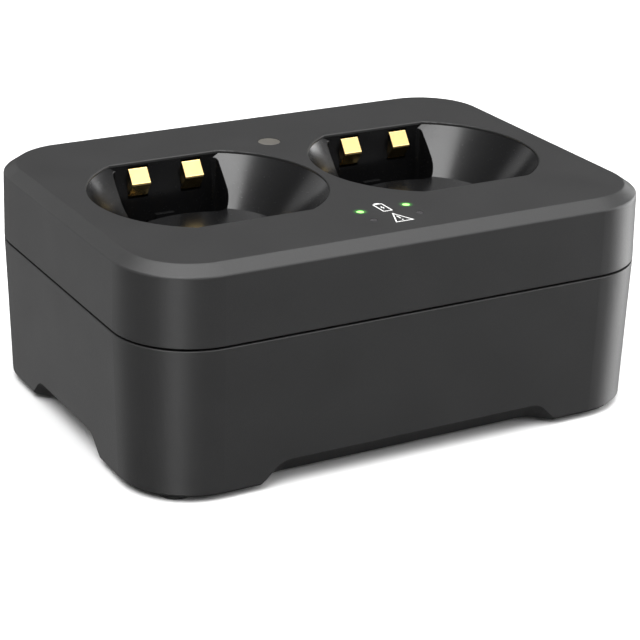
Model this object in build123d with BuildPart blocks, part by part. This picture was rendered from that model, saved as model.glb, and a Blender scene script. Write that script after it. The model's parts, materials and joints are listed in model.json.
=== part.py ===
from build123d import *

import os
from math import atan2, degrees, hypot, radians, sin, sqrt

# Two-bay battery charging dock. Millimetres, +Z up, front towards -Y.
# The origin is on the table under the middle of the dock.

# ---- overall form ----
length = 145.0  # along X, measured at the seam
depth = 105.8  # along Y, measured at the seam
height = 59.4  # from the table to the top face
corner_radius = 19.8  # plan corners at the seam
foot_protrusion = 1.3  # air under the base
base_top_z = 39.3  # upper edge of the base
seam_gap = 0.55  # shadow gap between base and cover
base_inset = 1.0  # draft of the base walls, per side, over their height
cover_inset = 0.33  # draft of the cover walls, per side, over their height
bevel_width = 3.4  # sloping border round the top face
bevel_height = 2.3
bevel_outer_round = 0.7
bevel_inner_round = 1.0
seam_edge_round = 0.25
foot_edge_bevel = 0.9

# ---- shells ----
cover_wall = 2.0
cover_top = 2.4
base_floor = 2.5
tongue_wall = 1.35
tongue_rise = 2.4  # above the base's upper edge
tongue_root = 6.0  # bonded length below that edge
tongue_gap = 0.15
tongue_bite = 0.2
base_wall = cover_wall + tongue_gap + tongue_bite

# ---- arches between the feet ----
arch_rise = 5.6
arch_bevel = 5.8  # how far the arch's slope runs inwards
arch_front_foot = 26.0  # from the side of the base to where the front arch starts
arch_side_foot = 26.6  # from the front of the base to where the side arch starts
arch_ramp = 11.0  # length of the curved end of an arch

# ---- wells and battery pockets ----
well_radius = 30.5
well_web = 2.2  # top face left between the two wells
well_flat_gap = 0.61  # between the side of the pocket and the end of the well's straight edge
lip = 0.7  # cover material over the liner's rim
lip_round = 0.3
well_slope = 53.0  # funnel wall, degrees from level
well_depth = 12.9  # top face to the flat floor
liner_wall = 1.5
rim_margin = 0.02  # liner rim beyond the outside of the funnel's wall
fit_gap = 0.1  # clearance between parts that seat in each other
liner_split = 0.15  # each liner stops this far from the middle
pocket_width = 30.0
pocket_depth = 8.3  # front to back, in the middle
pocket_front_arc = 26.0  # the front wall bulges into the pocket
pocket_drop = 45.0  # top face to pocket floor
pocket_front_round = 4.2
pocket_back_round = 1.4
pocket_edge_round = 0.35

# ---- contacts ----
leaf_thickness = 0.3
charging_pitch = 15.25
charging_width = 5.2
charging_reach = 2.7  # how far the knee stands out of the wall
charging_top = 1.5  # top face to the leaf's upper bend
charging_knee = 5.5
charging_return = 9.6
battery_pitch = 12.8
battery_width = 2.8
battery_reach = 1.6
battery_top = 16.9
battery_knee = 18.9
battery_return = 21.1
window_side_gap = 0.3
window_end_gap = 0.35
key_width = 5.3  # bar that keys the battery pack, between the contact rows
key_height = 1.3
key_reach = 0.7
key_depth = 15.8
leaf_root = 1.0  # how far the leaf's ends reach behind the wall's face
leaf_tail = 1.4
leaf_tail_back = 1.2  # tail to the front of the carrier
leaf_bends = [0.6, 0.6, 0.5, 0.4]

# ---- contact carriers and boards ----
carrier_width = 26.0
carrier_depth = 3.4
carrier_foot = 4.3  # below the lowest bend of the leaves
carrier_top_gap = 1.1
channel_back = 0.5
channel_side_gap = 0.4
channel_end_gap = 2.2
carrier_corner = 0.8
peg_radius = 1.2
peg_stickout = 0.8
peg_depths = [21.3, 14.3]  # below the top face
contact_board_thickness = 1.2
contact_board_corner = 0.6

# ---- screws: one size each for the shells, the liners and the boards ----
shell_screw_radius = 1.45
shell_screw_length = 16.0
shell_head_radius = 2.75
shell_head_height = 2.0
shell_screw_inset = 18.5  # from the side of the dock
shell_screw_inset_y = 16.3
post_radius = 3.5
base_boss_radius = 4.2
base_boss_height = 10.0
head_recess = 4.0
joint_gap = 0.2  # between a boss and the post that meets it
small_screw_radius = 1.1
small_screw_length = 5.0
small_head_radius = 2.1
small_head_height = 1.4
small_boss_radius = 3.0
thread_gap = 0.03
shank_gap = 0.25
liner_boss_drop = 3.1
liner_boss_gap = 0.65  # boss to the liner's rim
blind_end = 1.0  # plastic or air left past the end of a screw
ear_thickness = 2.0
ear_radius = 3.2
ear_root = 0.85  # where an ear starts, as a share of the way out to its screw
slot_reach = 1.3  # of a cross-head, as a share of the head's radius
slot_width = 0.56

# ---- main board ----
board_thickness = 1.6
board_boss_gap = 1.8  # board to the shell screws' bosses
board_front_gap = 8.0  # board to the wall
board_back_gap = 3.2
standoff_height = 4.0
board_corner = 3.0
board_screw_inset_x = 6.0  # from the board's edge
board_screw_inset_y = 5.0
socket_height = 6.0
socket_depth = 4.2
socket_grip = 4.5
socket_end = 1.5  # socket past the end of the board that stands in it
socket_chamfer = 0.5

# ---- packages on the main board: width, depth and height ----
charger_size = (6.0, 5.0, 1.6)
controller_size = (7.0, 7.0, 1.4)
transistor_size = (3.9, 4.9, 1.5)
transistor_offset = (10.0, 1.0)  # from a charge controller
charger_x = 26.0
charger_y = 4.0
controller_y = -8.0
coil_size = 7.0
coil_height = 3.0
coil_round = 1.4
coil_offset = 12.0  # in front of a charge controller
capacitor_radius = 4.0
capacitor_height = 10.5
capacitor_seat = 1.2
capacitor_inset = 7.0  # from the board's side
capacitor_rows = (-22.0, -10.0)
fuse_size = (6.4, 3.4, 2.2)
fuse_gap = 3.5  # to the power inlet
lead_reach = 0.35  # middle of a lead to its package
lead_length = 0.9
lead_thickness = 0.5
package_lift = 0.15

# ---- power inlet ----
inlet_width = 9.0
inlet_body = 13.0
inlet_height = 11.0
inlet_axis_height = 6.5  # above the main board
inlet_bore_radius = 3.15
inlet_bore_depth = 9.5
inlet_pin_radius = 1.0
inlet_pin_length = 8.6
inlet_opening_radius = 5.2
inlet_setback = 0.3  # inlet face to the inside of the rear wall
inlet_round = 0.6

# ---- indicators ----
light_radius = 1.0
light_gap = 0.04
light_collar_radius = 1.7
light_collar_height = 0.8
light_x = 6.5
charge_light_gap = 6.7  # front flat of the wells to the upper lights
fault_light_gap = 13.2
indicator_drop = 8.3  # top face to the indicator board
indicator_board_thickness = 1.2
indicator_width = 34.0
indicator_gap = 3.8  # front flat of the wells to the indicator board
indicator_depth = 15.2
indicator_corner = 1.5
indicator_screw_inset = 3.0
indicator_boss_radius = 2.5
shroud_width = 20.0
shroud_inset = 0.8
guide_gap = 0.3  # lamp to the light guide
led_width = 2.0
led_depth = 1.25
led_height = 0.8
ribbon_width = 8.0
ribbon_thickness = 0.3
ribbon_socket_width = 11.0
ribbon_socket_depth = 3.4
ribbon_socket_height = 3.0
ribbon_shift = 3.0  # lower socket to the upper one, front to back
ribbon_slack = 4.0
ribbon_bend = 3.0
symbol_thickness = 0.04
symbol_stroke = 0.34
battery_symbol_gap = 6.35  # front flat of the wells to the middle of the symbol
fault_symbol_gap = 14.1
battery_mark_width = 2.7
battery_mark_length = 5.6
battery_nub = 0.6
fault_mark_width = 5.0
fault_mark_length = 6.2
disc_radius = 3.0
disc_thickness = 0.8
disc_back_gap = 1.4  # middle of the disc behind the wells' back edge
disc_gap = 0.1
disc_sink = 0.05

# ---- feet ----
foot_radius = 4.5
foot_seat = 1.1
foot_gap = 0.1
foot_inset_x = 11.5  # from the side of the dock
foot_inset_y = 10.0
foot_round = 0.5

# ---- levels and positions that follow ----
bottom_z = foot_protrusion
floor_z = bottom_z + base_floor
cover_z = base_top_z + seam_gap
bevel_z = height - bevel_height
ceiling_z = height - cover_top
rim_z = height - lip - fit_gap / 2
well_floor_z = height - well_depth
pocket_floor_z = height - pocket_drop
well_x = well_radius + well_web / 2
wall_run = liner_wall / sin(radians(well_slope))
# liner material that the cover hides, outside the well
rim_width = wall_run + rim_margin
# middle of the well to its front flat and its back wall
well_flat = sqrt(well_radius**2 - (pocket_width / 2 + well_flat_gap) ** 2)
back_wall_y = well_flat
carrier_front_y = back_wall_y + liner_wall + fit_gap
carrier_back_y = carrier_front_y + carrier_depth
carrier_top_z = ceiling_z - carrier_top_gap
carrier_low_z = height - battery_return - carrier_foot
contact_board_y = carrier_back_y + fit_gap / 2
board_z = floor_z + standoff_height
board_top_z = board_z + board_thickness
sides = {"left": -1, "right": 1}
pocket_front_y = well_flat - pocket_depth
shell_screws = [
    (sx * (length / 2 - shell_screw_inset), sy * (depth / 2 - shell_screw_inset_y))
    for sx in (-1, 1)
    for sy in (-1, 1)
]
liner_boss_offset = (well_radius + rim_width + small_boss_radius + liner_boss_gap) / sqrt(2)
liner_screws_xy = [
    (side * well_x + sx * liner_boss_offset, sy * liner_boss_offset)
    for side in (-1, 1)
    for sx in (-1, 1)
    for sy in (-1, 1)
]
inner_wall_y = depth / 2 - base_inset - base_wall
board_half_x = length / 2 - shell_screw_inset - base_boss_radius - board_boss_gap
board_front = board_front_gap - inner_wall_y
board_back = inner_wall_y - board_back_gap
board_screws_xy = [
    (sx * (board_half_x - board_screw_inset_x), y)
    for sx in (-1, 1)
    for y in (board_front + board_screw_inset_y, board_back - board_screw_inset_y)
]
charge_light_y = -(well_flat + charge_light_gap)
fault_light_y = -(well_flat + fault_light_gap)
lights = {
    "charge_left": (-light_x, charge_light_y),
    "charge_right": (light_x, charge_light_y),
    "fault_left": (-light_x, fault_light_y),
    "fault_right": (light_x, fault_light_y),
}
indicator_top_z = height - indicator_drop
indicator_z = indicator_top_z - indicator_board_thickness
indicator_mid_y = -(well_flat + indicator_gap + indicator_depth / 2)
indicator_screws_xy = [
    (sx * (indicator_width / 2 - indicator_screw_inset), indicator_mid_y) for sx in (-1, 1)
]
disc_y = well_flat + disc_back_gap
disc_low_z = height - disc_thickness - disc_sink
small_pilot_radius = small_screw_radius + thread_gap
small_clear_radius = small_screw_radius + shank_gap

os.makedirs("parts", exist_ok=True)


def save(block, name):
    """Label the finished piece and write it as one STEP file."""
    block.part.label = name
    export_step(block.part, f"parts/{name}.step")


def facing_down(z, x=0, y=0):
    """A level plane that faces the table."""
    return Plane((x, y, z), x_dir=(1, 0, 0), z_dir=(0, 0, -1))


def drafted_block(plane, inset, rise, draft, mode=Mode.ADD):
    """Rounded block that starts `inset` inside the seam outline and narrows by `draft` over `rise`."""
    with BuildSketch(plane) as outline:
        RectangleRounded(length - 2 * inset, depth - 2 * inset, corner_radius - inset)
    extrude(outline.sketch, amount=rise, taper=degrees(atan2(draft, rise)), mode=mode)


def round_bars(points, radius, z_low, z_high, mode=Mode.ADD):
    """Upright round bars, or holes, at the given points."""
    with BuildSketch(Plane.XY.offset(z_low)) as circles:
        with Locations(*points):
            Circle(radius)
    extrude(circles.sketch, amount=z_high - z_low, mode=mode)


def block_between(low, high, mode=Mode.ADD):
    """Plain box between two opposite corners."""
    size = [b - a for a, b in zip(low, high)]
    middle = [(a + b) / 2 for a, b in zip(low, high)]
    with Locations(tuple(middle)):
        Box(*size, mode=mode)


def well_outline(margin=0.0):
    """Plan of a well: a circle with a front flat, squared off at the back by the battery pocket."""
    Circle(well_radius + margin)
    Rectangle(2 * (well_radius + margin), 2 * (well_flat + margin), mode=Mode.INTERSECT)
    with Locations((0, well_flat / 2)):
        Rectangle(pocket_width + 2 * margin, well_flat + 2 * margin)


def well_slab(x, margin, z_low, z_high, mode=Mode.ADD):
    """The well's plan as an upright slab."""
    with BuildSketch(Plane((x, 0, z_low))) as outline:
        well_outline(margin)
    extrude(outline.sketch, amount=z_high - z_low, mode=mode)


def funnel(x, margin, z_low, mode=Mode.ADD):
    """Straight-sided cone from the rim down to a level floor."""
    with BuildSketch(facing_down(rim_z, x)) as outline:
        Circle(well_radius + margin)
    extrude(outline.sketch, amount=rim_z - z_low, taper=90 - well_slope, mode=mode)


# ---- base housing ----
def arch_cutters(half_length, wall, turned):
    """Slanted cut that lifts the base's lower edge between two feet, on both opposite sides."""
    slant = hypot(arch_bevel, arch_rise)
    for side in (-1, 1):
        if turned:
            plane = Plane((side * wall, 0, 0), x_dir=(0, 1, 0), z_dir=(1, 0, 0))
            slope = (-side * arch_bevel, 0, -arch_rise)
        else:
            plane = Plane((0, side * wall, 0), x_dir=(1, 0, 0), z_dir=(0, -1, 0))
            slope = (0, -side * arch_bevel, -arch_rise)
        low = bottom_z - arch_rise
        top = bottom_z + arch_rise
        full = half_length - arch_ramp
        bend = half_length - arch_ramp / 2
        with BuildSketch(plane) as profile:
            with BuildLine():
                Bezier((-half_length, bottom_z), (-bend, bottom_z), (-bend, top), (-full, top))
                Line((-full, top), (full, top))
                Bezier((full, top), (bend, top), (bend, bottom_z), (half_length, bottom_z))
                Polyline(
                    (half_length, bottom_z),
                    (half_length, low),
                    (-half_length, low),
                    (-half_length, bottom_z),
                )
            make_face()
        extrude(profile.sketch, amount=slant + 1, dir=slope, both=True, mode=Mode.SUBTRACT)


base_height = base_top_z - bottom_z
base_half_x = length / 2 - base_inset
base_half_y = depth / 2 - base_inset
# the inner edge above the floor slopes with the arches, so the wall stays full there
inner_slope = 0.9 * arch_bevel
inner_slope_height = 0.8 * arch_rise
draft_per_mm = base_inset / base_height
cavity_high = base_top_z - floor_z - inner_slope_height
foot_points = [
    (sx * (length / 2 - foot_inset_x), sy * (depth / 2 - foot_inset_y)) for sx in (-1, 1) for sy in (-1, 1)
]
boss_top_z = floor_z + base_boss_height
inlet_z = board_top_z + inlet_axis_height
inlet_face_y = inner_wall_y - inlet_setback

with BuildPart() as base_housing:
    drafted_block(facing_down(base_top_z), 0, base_height, base_inset)
    fillet(base_housing.faces().sort_by(Axis.Z)[-1].edges(), seam_edge_round)
    chamfer(base_housing.faces().sort_by(Axis.Z)[0].edges(), foot_edge_bevel)
    cavity_draft = cavity_high * draft_per_mm
    drafted_block(facing_down(base_top_z), base_wall, cavity_high, cavity_draft, Mode.SUBTRACT)
    drafted_block(
        facing_down(floor_z + inner_slope_height),
        base_wall + cavity_draft,
        inner_slope_height,
        inner_slope,
        Mode.SUBTRACT,
    )
    arch_cutters(base_half_x - arch_front_foot, base_half_y, turned=False)
    arch_cutters(base_half_y - arch_side_foot, base_half_x, turned=True)
    # tongue that the cover slips over
    tongue_inset = cover_wall + tongue_gap
    with BuildSketch(Plane.XY.offset(base_top_z - tongue_root)) as tongue:
        RectangleRounded(length - 2 * tongue_inset, depth - 2 * tongue_inset, corner_radius - tongue_inset)
        bore_inset = tongue_inset + tongue_wall
        RectangleRounded(
            length - 2 * bore_inset, depth - 2 * bore_inset, corner_radius - bore_inset, mode=Mode.SUBTRACT
        )
    extrude(tongue.sketch, amount=tongue_root + tongue_rise)
    # bosses for the shell screws, standoffs for the main board
    round_bars(shell_screws, base_boss_radius, bottom_z, boss_top_z)
    round_bars(shell_screws, shell_screw_radius + shank_gap, bottom_z, boss_top_z, Mode.SUBTRACT)
    round_bars(shell_screws, shell_head_radius + shank_gap, bottom_z, bottom_z + head_recess, Mode.SUBTRACT)
    round_bars(board_screws_xy, small_boss_radius, floor_z, board_z)
    round_bars(board_screws_xy, small_pilot_radius, floor_z, board_z, Mode.SUBTRACT)
    # seats for the feet
    round_bars(foot_points, foot_radius + foot_gap, bottom_z, bottom_z + foot_seat, Mode.SUBTRACT)
    # way in for the power plug
    with BuildSketch(Plane((0, 0, inlet_z), x_dir=(1, 0, 0), z_dir=(0, 1, 0))) as way_in:
        Circle(inlet_opening_radius)
    extrude(way_in.sketch, amount=depth, mode=Mode.SUBTRACT)
save(base_housing, "base_housing")

# ---- top cover ----
cover_wall_height = bevel_z - cover_z
inner_bevel = 0.6 * cover_wall
cover_inner_inset = cover_wall + cover_inset
relief_depth = lip + 0.2
post_low_z = boss_top_z + joint_gap
liner_boss_z = ceiling_z - liner_boss_drop

with BuildPart() as top_cover:
    drafted_block(Plane.XY.offset(cover_z), 0, cover_wall_height, cover_inset)
    drafted_block(Plane.XY.offset(bevel_z), cover_inset, bevel_height, bevel_width)
    fillet(top_cover.faces().sort_by(Axis.Z)[-1].edges(), bevel_inner_round)
    fillet(top_cover.edges().filter_by_position(Axis.Z, bevel_z - 0.01, bevel_z + 0.01), bevel_outer_round)
    fillet(top_cover.faces().sort_by(Axis.Z)[0].edges(), seam_edge_round)
    inner_height = ceiling_z - inner_bevel - cover_z
    drafted_block(Plane.XY.offset(cover_z), cover_wall, inner_height, cover_inset, Mode.SUBTRACT)
    drafted_block(
        Plane.XY.offset(ceiling_z - inner_bevel), cover_inner_inset, inner_bevel, inner_bevel, Mode.SUBTRACT
    )
    # posts for the shell screws and bosses for the liners and the indicator board
    round_bars(shell_screws, post_radius, post_low_z, ceiling_z)
    shell_pilot_z = post_low_z + shell_screw_length
    round_bars(shell_screws, shell_screw_radius + thread_gap, post_low_z, shell_pilot_z, Mode.SUBTRACT)
    round_bars(liner_screws_xy, small_boss_radius, liner_boss_z, ceiling_z)
    round_bars(indicator_screws_xy, indicator_boss_radius, indicator_top_z, ceiling_z)
    liner_pilot_z = liner_boss_z + small_screw_length - blind_end
    round_bars(liner_screws_xy, small_pilot_radius, liner_boss_z, liner_pilot_z, Mode.SUBTRACT)
    indicator_pilot_z = indicator_top_z + small_screw_length
    round_bars(indicator_screws_xy, small_pilot_radius, indicator_top_z, indicator_pilot_z, Mode.SUBTRACT)
    # wells: an opening in the face, and a wider seat under it for the liner's rim
    for side in sides.values():
        well_slab(side * well_x, 0, ceiling_z - cover_top, height + 1, Mode.SUBTRACT)
        well_slab(side * well_x, rim_width + fit_gap, ceiling_z - cover_top, height - lip, Mode.SUBTRACT)
        block_between(
            (side * well_x - carrier_width / 2, back_wall_y, ceiling_z - cover_top),
            (side * well_x + carrier_width / 2, carrier_front_y + carrier_depth, height - relief_depth),
            Mode.SUBTRACT,
        )
    well_edges = [
        edge
        for edge in top_cover.faces().filter_by(Plane.XY).sort_by(Axis.Z)[-1].edges()
        if abs(edge.center().Y) < well_flat + 1 and abs(edge.center().X) < 2 * well_radius + well_web
    ]
    fillet(well_edges, lip_round)
    round_bars(lights.values(), light_radius, ceiling_z - 1, height, Mode.SUBTRACT)
    round_bars([(0, disc_y)], disc_radius + disc_gap, disc_low_z, height, Mode.SUBTRACT)
save(top_cover, "top_cover")


# ---- bay liners ----
def pocket_prism(x, margin, z_low, z_high, mode=Mode.ADD):
    """Upright battery pocket at the back of a well; its front wall is an arc that bulges inwards."""
    half = pocket_width / 2 + margin
    front = pocket_front_y - margin
    back = well_flat + margin
    arc = pocket_front_arc + margin
    sag = arc - sqrt(arc**2 - half**2)
    with BuildSketch(Plane((x, 0, z_low))) as outline:
        with BuildLine():
            ThreePointArc((-half, front - sag), (0, front), (half, front - sag))
            Polyline((half, front - sag), (half, back), (-half, back), (-half, front - sag))
        make_face()
        fillet(outline.vertices().group_by(Axis.Y)[0], pocket_front_round + margin)
        fillet(outline.vertices().group_by(Axis.Y)[-1], pocket_back_round + margin)
    extrude(outline.sketch, amount=z_high - z_low, mode=mode)


def liner_hollow(x):
    """The air in a bay: a funnel with a flat front, and the battery pocket behind it."""
    with BuildPart() as hollow:
        funnel(x, 0, well_floor_z)
        block_between((x - length, -well_flat, 0), (x + length, well_flat, height), Mode.INTERSECT)
        pocket_prism(x, 0, pocket_floor_z, rim_z)
        pocket_walls = [face for face in hollow.faces() if face.bounding_box().min.Z < well_floor_z - 1]
        pocket_rim = [
            edge
            for wall in pocket_walls
            for edge in wall.edges()
            if edge.bounding_box().min.Z > well_floor_z - 1
            if edge.center().Y < well_flat - pocket_back_round
        ]
        fillet(pocket_rim, pocket_edge_round)
    return hollow.part


peg_heights = [height - drop for drop in peg_depths]
peg_root_y = back_wall_y + liner_wall / 2
peg_end_y = contact_board_y + contact_board_thickness + peg_stickout
contact_rows = {
    "charging": (charging_pitch, charging_width, charging_top, charging_return),
    "battery": (battery_pitch, battery_width, battery_top, battery_return),
}
ear_z = liner_boss_z - fit_gap / 2 - ear_thickness

for name, side in sides.items():
    x = side * well_x
    bay_air = liner_hollow(x)
    with BuildPart() as liner:
        funnel(x, wall_run, well_floor_z - liner_wall)
        shell_y = well_flat + liner_wall
        block_between((x - length, -shell_y, 0), (x + length, shell_y, height), Mode.INTERSECT)
        pocket_prism(x, liner_wall, pocket_floor_z - liner_wall, rim_z)
        well_slab(x, rim_width, ceiling_z + fit_gap / 2, rim_z)
        with BuildSketch(Plane((x, 0, ear_z))) as ears:
            for sx in (-1, 1):
                for sy in (-1, 1):
                    tip = (sx * liner_boss_offset, sy * liner_boss_offset)
                    middle = (ear_root * tip[0], ear_root * tip[1])
                    SlotCenterPoint(middle, tip, 2 * ear_radius)
        extrude(ears.sketch, amount=ear_thickness)
        add(bay_air, mode=Mode.SUBTRACT)
        # the two liners meet in the middle of the dock
        far = side * (length / 2 - cover_wall - 1)
        near = side * liner_split
        block_between((min(near, far), -depth / 2, 0), (max(near, far), depth / 2, height), Mode.INTERSECT)
        round_bars(
            [point for point in liner_screws_xy if point[0] * side > 0],
            small_clear_radius,
            ear_z,
            ear_z + ear_thickness,
            Mode.SUBTRACT,
        )
        # windows for the contacts, and the key bar between them
        for pitch, width, top, back in contact_rows.values():
            for sx in (-1, 1):
                middle_x = x + sx * pitch / 2
                half = width / 2 + window_side_gap
                block_between(
                    (middle_x - half, back_wall_y - fit_gap, height - back - window_end_gap),
                    (middle_x + half, back_wall_y + rim_width + fit_gap, height - top + window_end_gap),
                    Mode.SUBTRACT,
                )
        key_z = height - key_depth
        block_between(
            (x - key_width / 2, back_wall_y - key_reach, key_z - key_height / 2),
            (x + key_width / 2, peg_root_y, key_z + key_height / 2),
        )
        # pegs that hold the carrier and the contact board
        for peg_z in peg_heights:
            with BuildSketch(Plane((x, peg_root_y, peg_z), x_dir=(1, 0, 0), z_dir=(0, 1, 0))) as peg:
                Circle(peg_radius)
            extrude(peg.sketch, amount=peg_end_y - peg_root_y)
    save(liner, f"bay_liner_{name}")


# ---- sprung contacts ----
def leaf_profile(reach, top, knee, back):
    """Centre line of a contact leaf in the Y-Z plane: bowed out of the wall, both ends behind it."""
    wall = back_wall_y + leaf_thickness
    tail_y = carrier_front_y + leaf_tail_back
    return [
        (wall + leaf_root, height - top - 2 * leaf_thickness),
        (wall, height - top - leaf_thickness / 2),
        (back_wall_y - reach + leaf_thickness / 2, height - knee),
        (wall, height - back + leaf_thickness),
        (tail_y, height - back - leaf_thickness / 2),
        (tail_y, height - back - leaf_tail),
    ]


def contact_leaf(x, width, points):
    """One strip of spring metal, bent to the profile."""
    with BuildPart() as leaf:
        with BuildSketch(Plane.YZ.offset(x)) as strip:
            with BuildLine() as centre:
                FilletPolyline(*points, radius=leaf_bends)
            trace(centre.line, leaf_thickness)
        extrude(strip.sketch, amount=width / 2, both=True)
    return leaf


leaf_shapes = {
    "charging": leaf_profile(charging_reach, charging_top, charging_knee, charging_return),
    "battery": leaf_profile(battery_reach, battery_top, battery_knee, battery_return),
}
for bay, side in sides.items():
    for row, (pitch, width, top, back) in contact_rows.items():
        for place, sx in {"outer": side, "inner": -side}.items():
            leaf_x = side * well_x + sx * pitch / 2
            save(contact_leaf(leaf_x, width, leaf_shapes[row]), f"{row}_leaf_{bay}_{place}")

# ---- contact carriers, their boards and the sockets the boards stand in ----
channel_reach = carrier_back_y - channel_back
for name, side in sides.items():
    x = side * well_x
    left = x - carrier_width / 2
    right = x + carrier_width / 2
    peg_points = [(x, peg_z) for peg_z in peg_heights]

    with BuildPart() as carrier:
        block_between((left, carrier_front_y, carrier_low_z), (right, carrier_back_y, carrier_top_z))
        fillet(carrier.edges().filter_by(Axis.Y), carrier_corner)
        for pitch, width, top, back in contact_rows.values():
            for sx in (-1, 1):
                half = width / 2 + channel_side_gap
                middle_x = x + sx * pitch / 2
                block_between(
                    (middle_x - half, carrier_front_y, height - back - channel_end_gap),
                    (middle_x + half, channel_reach, min(height - top + window_end_gap, carrier_top_z)),
                    Mode.SUBTRACT,
                )
        with BuildSketch(Plane((0, carrier_back_y, 0), x_dir=(1, 0, 0), z_dir=(0, -1, 0))) as peg_holes:
            with Locations(*peg_points):
                Circle(peg_radius + fit_gap)
        extrude(peg_holes.sketch, amount=carrier_depth, mode=Mode.SUBTRACT)
    save(carrier, f"contact_carrier_{name}")

    with BuildPart() as contact_board:
        board_rear_y = contact_board_y + contact_board_thickness
        foot_z = board_top_z + socket_height - socket_grip
        block_between((left, contact_board_y, foot_z), (right, board_rear_y, carrier_top_z))
        fillet(contact_board.edges().filter_by(Axis.Y), contact_board_corner)
        with BuildSketch(Plane((0, board_rear_y, 0), x_dir=(1, 0, 0), z_dir=(0, -1, 0))) as peg_holes:
            with Locations(*peg_points):
                Circle(peg_radius + fit_gap)
        extrude(peg_holes.sketch, amount=contact_board_thickness, mode=Mode.SUBTRACT)
    save(contact_board, f"contact_board_{name}")

    with BuildPart() as socket:
        middle_y = contact_board_y + contact_board_thickness / 2
        block_between(
            (left - socket_end, middle_y - socket_depth / 2, board_top_z),
            (right + socket_end, middle_y + socket_depth / 2, board_top_z + socket_height),
        )
        chamfer(socket.edges().filter_by(Axis.X).group_by(Axis.Z)[-1], socket_chamfer)
        block_between(
            (left - fit_gap, contact_board_y - fit_gap / 2, foot_z - fit_gap),
            (right + fit_gap, board_rear_y + fit_gap / 2, board_top_z + socket_height),
            Mode.SUBTRACT,
        )
    save(socket, f"board_socket_{name}")

# ---- main board ----
board_mid_y = (board_front + board_back) / 2
with BuildPart() as main_board:
    with BuildSketch(Plane((0, board_mid_y, board_z))) as blank:
        RectangleRounded(2 * board_half_x, board_back - board_front, board_corner)
    extrude(blank.sketch, amount=board_thickness)
    round_bars(board_screws_xy, small_clear_radius, board_z, board_top_z, Mode.SUBTRACT)
save(main_board, "main_board")


def chip(x, y, size, leads, along_x):
    """Flat black package with short leads along two sides; `size` is its width, depth and height."""
    wide, deep, tall = size
    low = board_top_z + package_lift
    block_between((x - wide / 2, y - deep / 2, low), (x + wide / 2, y + deep / 2, board_top_z + tall))
    run, across = (wide, deep) if along_x else (deep, wide)
    pitch = run / leads
    for step in range(leads):
        along = (step - (leads - 1) / 2) * pitch
        for sign in (-1, 1):
            out = sign * (across / 2 + lead_reach)
            place = (x + along, y + out) if along_x else (x + out, y + along)
            foot = (0.45 * pitch, lead_length) if along_x else (lead_length, 0.45 * pitch)
            with Locations((*place, board_top_z + lead_thickness / 2)):
                Box(*foot, lead_thickness)


charger_points = [(side * charger_x, charger_y) for side in sides.values()]

with BuildPart() as charge_controllers:
    for x, y in charger_points:
        chip(x, y, charger_size, 8, along_x=True)
save(charge_controllers, "charge_controllers")

with BuildPart() as status_controller:
    for along_x in (True, False):
        chip(0, controller_y, controller_size, 10, along_x)
save(status_controller, "status_controller")

with BuildPart() as power_transistors:
    across, along = transistor_offset
    for x, y in charger_points:
        for place in (-1, 1):
            chip(x + place * across, y + along, transistor_size, 4, along_x=True)
save(power_transistors, "power_transistors")

with BuildPart() as power_inductors:
    with BuildSketch(Plane.XY.offset(board_top_z)) as coils:
        with Locations(*[(x, y - coil_offset) for x, y in charger_points]):
            RectangleRounded(coil_size, coil_size, coil_round)
    extrude(coils.sketch, amount=coil_height)
    chamfer(power_inductors.faces().group_by(Axis.Z)[-1].edges(), coil_round / 4)
save(power_inductors, "power_inductors")

capacitor_x = board_half_x - capacitor_inset
capacitor_points = [(side * capacitor_x, y) for side in sides.values() for y in capacitor_rows]
with BuildPart() as filter_capacitors:
    round_bars(capacitor_points, capacitor_radius, board_top_z, board_top_z + capacitor_height)
    fillet(filter_capacitors.edges().group_by(Axis.Z)[-1], 0.15 * capacitor_radius)
    with BuildSketch(Plane.XY.offset(board_top_z)) as seats:
        with Locations(*capacitor_points):
            Rectangle(2.1 * capacitor_radius, 2.1 * capacitor_radius)
    extrude(seats.sketch, amount=capacitor_seat)
save(filter_capacitors, "filter_capacitors")

fuse_x, fuse_y, fuse_z = fuse_size
fuse_back = inlet_face_y - inlet_body - fuse_gap
with BuildPart() as input_fuse:
    block_between(
        (-fuse_x / 2, fuse_back - fuse_y, board_top_z), (fuse_x / 2, fuse_back, board_top_z + fuse_z)
    )
    fillet(input_fuse.edges().filter_by(Axis.X), 0.4)
save(input_fuse, "input_fuse")

# ---- power inlet ----
inlet_plane = Plane((0, inlet_face_y, inlet_z), x_dir=(1, 0, 0), z_dir=(0, -1, 0))
with BuildPart() as power_inlet:
    block_between(
        (-inlet_width / 2, inlet_face_y - inlet_body, board_top_z),
        (inlet_width / 2, inlet_face_y, board_top_z + inlet_height),
    )
    fillet(power_inlet.edges().filter_by(Axis.Y), inlet_round)
    with BuildSketch(inlet_plane) as inlet_bore:
        Circle(inlet_bore_radius)
    extrude(inlet_bore.sketch, amount=inlet_bore_depth, mode=Mode.SUBTRACT)
save(power_inlet, "power_inlet")

with BuildPart() as inlet_pin:
    with BuildSketch(inlet_plane.offset(inlet_bore_depth)) as pin_root:
        Circle(inlet_pin_radius)
    extrude(pin_root.sketch, amount=-inlet_pin_length)
    fillet(inlet_pin.faces().sort_by(Axis.Y)[-1].edges(), 0.4 * inlet_pin_radius)
save(inlet_pin, "inlet_pin")

# ---- indicators: board, lamps, shroud and light guides ----
with BuildPart() as indicator_board:
    with BuildSketch(Plane((0, indicator_mid_y, indicator_z))) as blank:
        RectangleRounded(indicator_width, indicator_depth, indicator_corner)
    extrude(blank.sketch, amount=indicator_board_thickness)
    round_bars(indicator_screws_xy, small_clear_radius, indicator_z, indicator_top_z, Mode.SUBTRACT)
save(indicator_board, "indicator_board")

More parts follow.
